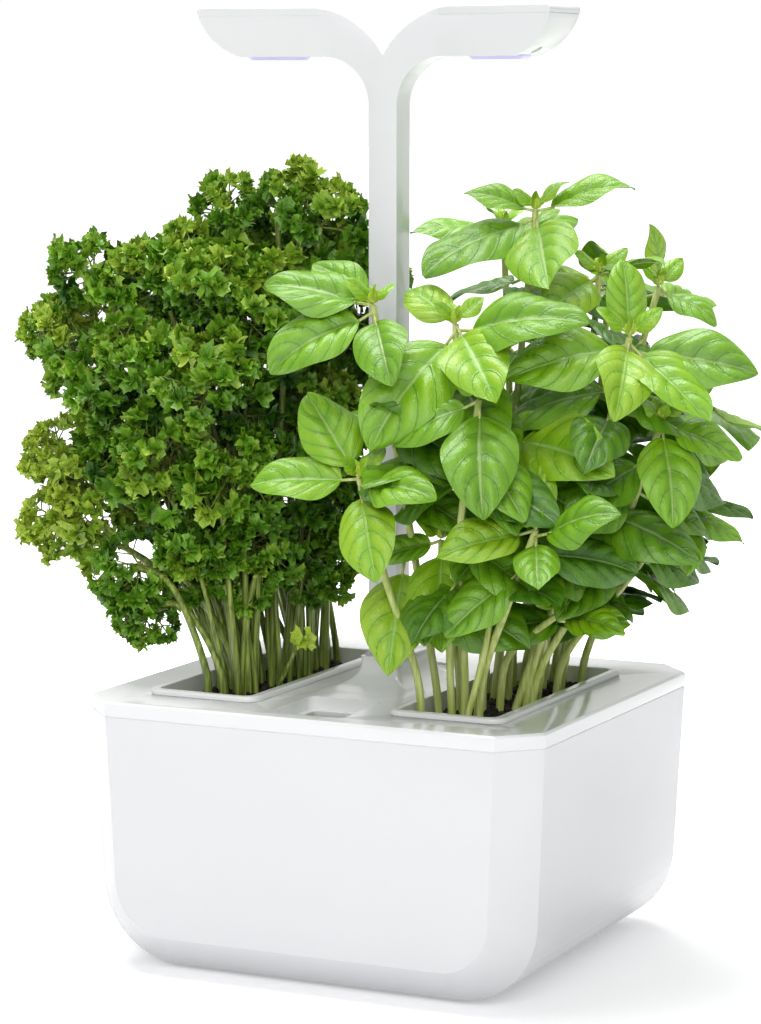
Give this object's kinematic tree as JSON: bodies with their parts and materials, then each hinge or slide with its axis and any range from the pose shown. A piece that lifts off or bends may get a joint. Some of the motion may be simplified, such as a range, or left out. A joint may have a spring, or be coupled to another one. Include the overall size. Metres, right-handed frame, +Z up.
{
  "type": "countertop hydroponic garden",
  "caption": "Flared white water tank with a lift-off deck, two planted cartridges of parsley and basil, and a Y-shaped plug-in grow lamp on a column.",
  "frame": {"origin": "centre of the whole object's footprint, on the surface that the four feet stand on", "axes": "+X to the right seen from the front, +Y to the back, +Z up; the lamp's column is beside the origin"},
  "size_m": [0.2796, 0.1693, 0.335],
  "materials": {
    "tank_plastic": "glossy injection-moulded white",
    "foot_rubber": "matt grey-white rubber",
    "deck_plastic": "glossy injection-moulded white",
    "tray_plastic": "glossy white, a little thinner and warmer",
    "inner_plastic": "plain moulded white",
    "seal_rubber": "soft pale seal",
    "screw_steel": "zinc-plated",
    "circuit_board": "green solder mask",
    "board_parts": "black moulded parts",
    "connector_plastic": "black moulded",
    "contact_metal": "plated contact",
    "button_plastic": "glossy white",
    "float_foam": "closed-cell foam",
    "float_tip": "grey rod",
    "lamp_plastic": "satin to glossy white",
    "heat_plate": "bare aluminium",
    "led_chips": "yellow phosphor in white packages",
    "diffuser": "milky lens with a lavender glow",
    "wire_jacket": "white insulation",
    "growing_medium": "dark damp peat",
    "wick_felt": "white felt",
    "basil_leaf": "living leaf, glossy and veined",
    "basil_stem": "pale green stem",
    "parsley_leaf": "living leaf, curled",
    "parsley_stem": "ribbed green stalk"
  },
  "bodies": {
    "base": {"tank_shell": "tank_plastic", "front_left_foot": "foot_rubber", "front_right_foot": "foot_rubber", "back_left_foot": "foot_rubber", "back_right_foot": "foot_rubber"},
    "deck": {"deck_tray": "deck_plastic", "chamber_cover": "inner_plastic", "chamber_seal": "seal_rubber", "chamber_screws": "screw_steel", "control_board": "circuit_board", "board_screws": "screw_steel", "board_parts": "board_parts", "tact_switch": "board_parts", "power_jack": "connector_plastic", "jack_pin": "contact_metal", "column_socket": "connector_plastic", "collar_seal": "seal_rubber", "float_cage": "inner_plastic"},
    "button": {"timer_button": "button_plastic"},
    "float": {"float_body": "float_foam", "float_rod": "float_tip"},
    "lamp": {"lamp_housing": "lamp_plastic", "left_arm_cover": "lamp_plastic", "right_arm_cover": "lamp_plastic", "left_heat_plate": "heat_plate", "right_heat_plate": "heat_plate", "left_led_board": "circuit_board", "right_led_board": "circuit_board", "left_leds": "led_chips", "right_leds": "led_chips", "left_lens": "diffuser", "right_lens": "diffuser", "left_lens_seal": "seal_rubber", "right_lens_seal": "seal_rubber", "arm_screws": "screw_steel", "lamp_cable": "wire_jacket", "lamp_plug": "connector_plastic"},
    "left_cartridge": {"left_tray": "tray_plastic", "left_substrate": "growing_medium", "left_wicks": "wick_felt", "parsley_foliage": "parsley_leaf", "parsley_stems": "parsley_stem"},
    "right_cartridge": {"right_tray": "tray_plastic", "right_substrate": "growing_medium", "right_wicks": "wick_felt", "basil_leaves": "basil_leaf", "basil_stems": "basil_stem"}
  },
  "joints": [
    {"name": "deck_lift", "type": "slide", "parent": "base", "child": "deck", "axis": [0, 0, 1], "range_m": [0, 0.12]},
    {"name": "lamp_lift", "type": "slide", "parent": "deck", "child": "lamp", "axis": [0, 0, 1], "range_m": [0, 0.06]},
    {"name": "left_cartridge_lift", "type": "slide", "parent": "deck", "child": "left_cartridge", "axis": [0, 0, 1], "range_m": [0, 0.03]},
    {"name": "right_cartridge_lift", "type": "slide", "parent": "deck", "child": "right_cartridge", "axis": [0, 0, 1], "range_m": [0, 0.03]},
    {"name": "float_rise", "type": "slide", "parent": "deck", "child": "float", "axis": [0, 0, 1], "range_m": [0, 0.012]},
    {"name": "button_press", "type": "slide", "parent": "deck", "child": "button", "axis": [0, 0, -1], "range_m": [0, 0.001], "stiffness_N_per_m": 400, "springref_m": -0.0005}
  ]
}
